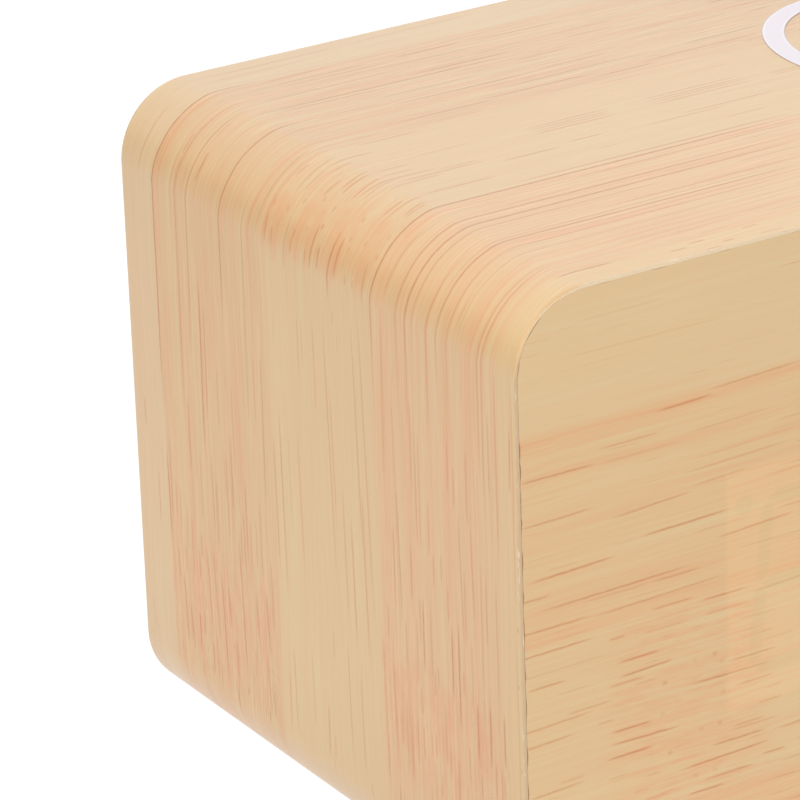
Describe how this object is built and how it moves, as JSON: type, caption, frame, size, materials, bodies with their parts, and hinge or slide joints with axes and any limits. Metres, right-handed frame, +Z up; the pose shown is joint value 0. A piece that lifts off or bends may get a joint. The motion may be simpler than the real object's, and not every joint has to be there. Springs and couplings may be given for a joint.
{
  "type": "desk clock",
  "caption": "Block-shaped wood-look desk clock with a hidden digital display, a charging pad on top, and push buttons and a battery door at the back.",
  "frame": {"origin": "middle of the footprint, on the surface that the feet rest on", "axes": "+X to the viewer's right along the clock's width, +Y to the back, +Z up"},
  "size_m": [0.15, 0.075, 0.0716],
  "materials": {
    "bamboo_print": "satin printed film",
    "fibreboard": "raw fibreboard",
    "pine": "sawn",
    "mark_print": "printed transfer",
    "foot_rubber": "matte",
    "segment_resin": "milky resin",
    "display_shell": "moulded",
    "led_die": "epoxy",
    "circuit_board": "solder mask",
    "charger_board": "solder mask",
    "spacer_nylon": "nylon",
    "zinc_screw": "zinc plated",
    "black_screw": "black zinc",
    "chip_epoxy": "moulded epoxy",
    "header_nylon": "nylon",
    "ribbon_vinyl": "vinyl",
    "cover_plastic": "fine textured",
    "button_plastic": "smooth",
    "box_plastic": "moulded",
    "switch_plastic": "moulded",
    "plunger_plastic": "moulded",
    "shell_steel": "tin plated",
    "tongue_plastic": "moulded",
    "mic_can": "drawn",
    "sensor_epoxy": "dipped",
    "buzzer_plastic": "moulded",
    "crystal_can": "drawn",
    "capacitor_sleeve": "shrink sleeve",
    "capacitor_body": "ceramic",
    "cell_jacket": "wrapped",
    "contact_nickel": "nickel plated",
    "red_lead": "vinyl",
    "black_lead": "vinyl",
    "coil_copper": "enamelled copper",
    "ferrite": "sintered",
    "holder_plastic": "moulded"
  },
  "bodies": {
    "case": {"rubber_feet": "foot_rubber", "wrap_film": "bamboo_print", "front_film": "bamboo_print", "top_board": "fibreboard", "bottom_board": "fibreboard", "left_side_board": "fibreboard", "right_side_board": "fibreboard", "front_panel": "fibreboard", "corner_blocks": "pine", "charging_mark": "mark_print", "display_segments": "segment_resin", "display_housing": "display_shell", "led_chips": "led_die", "display_pcb": "circuit_board", "display_spacers": "spacer_nylon", "display_screws": "zinc_screw", "display_driver_chip": "chip_epoxy", "ribbon_headers": "header_nylon", "display_ribbon": "ribbon_vinyl", "rear_cover": "cover_plastic", "rear_cover_screws": "black_screw", "main_pcb": "circuit_board", "main_pcb_screws": "zinc_screw", "tact_switches": "switch_plastic", "usb_inlet_shell": "shell_steel", "usb_inlet_tongue": "tongue_plastic", "microphone": "mic_can", "temperature_sensor": "sensor_epoxy", "buzzer": "buzzer_plastic", "microcontroller": "chip_epoxy", "timekeeping_chip": "chip_epoxy", "quartz_crystal": "crystal_can", "filter_capacitor": "capacitor_sleeve", "lead_headers": "header_nylon", "battery_box": "box_plastic", "battery_box_screws": "zinc_screw", "battery_cells": "cell_jacket", "battery_contact_plates": "contact_nickel", "battery_leaf_springs": "contact_nickel", "charging_coil": "coil_copper", "ferrite_sheet": "ferrite", "coil_holder": "holder_plastic", "coil_holder_screws": "zinc_screw", "charger_pcb": "charger_board", "charger_pcb_screws": "zinc_screw", "charger_chip": "chip_epoxy", "charger_capacitors": "capacitor_body", "coil_leads": "coil_copper", "battery_lead_red": "red_lead", "battery_lead_black": "black_lead", "charger_lead_red": "red_lead", "charger_lead_black": "black_lead"},
    "mode_key": {"mode_button": "button_plastic", "mode_plunger": "plunger_plastic"},
    "up_key": {"up_button": "button_plastic", "up_plunger": "plunger_plastic"},
    "down_key": {"down_button": "button_plastic", "down_plunger": "plunger_plastic"},
    "door": {"battery_door": "cover_plastic", "battery_door_screws": "black_screw"}
  },
  "joints": [
    {"name": "mode_button_press", "type": "slide", "parent": "case", "child": "mode_key", "axis": [0, -1, 0], "range_m": [0, 0.0005], "stiffness_N_per_m": 1200, "springref_m": -0.0004},
    {"name": "up_button_press", "type": "slide", "parent": "case", "child": "up_key", "axis": [0, -1, 0], "range_m": [0, 0.0005], "stiffness_N_per_m": 1200, "springref_m": -0.0004},
    {"name": "down_button_press", "type": "slide", "parent": "case", "child": "down_key", "axis": [0, -1, 0], "range_m": [0, 0.0005], "stiffness_N_per_m": 1200, "springref_m": -0.0004},
    {"name": "battery_door_lift", "type": "slide", "parent": "case", "child": "door", "axis": [0, 1, 0], "range_m": [0, 0.018]}
  ]
}
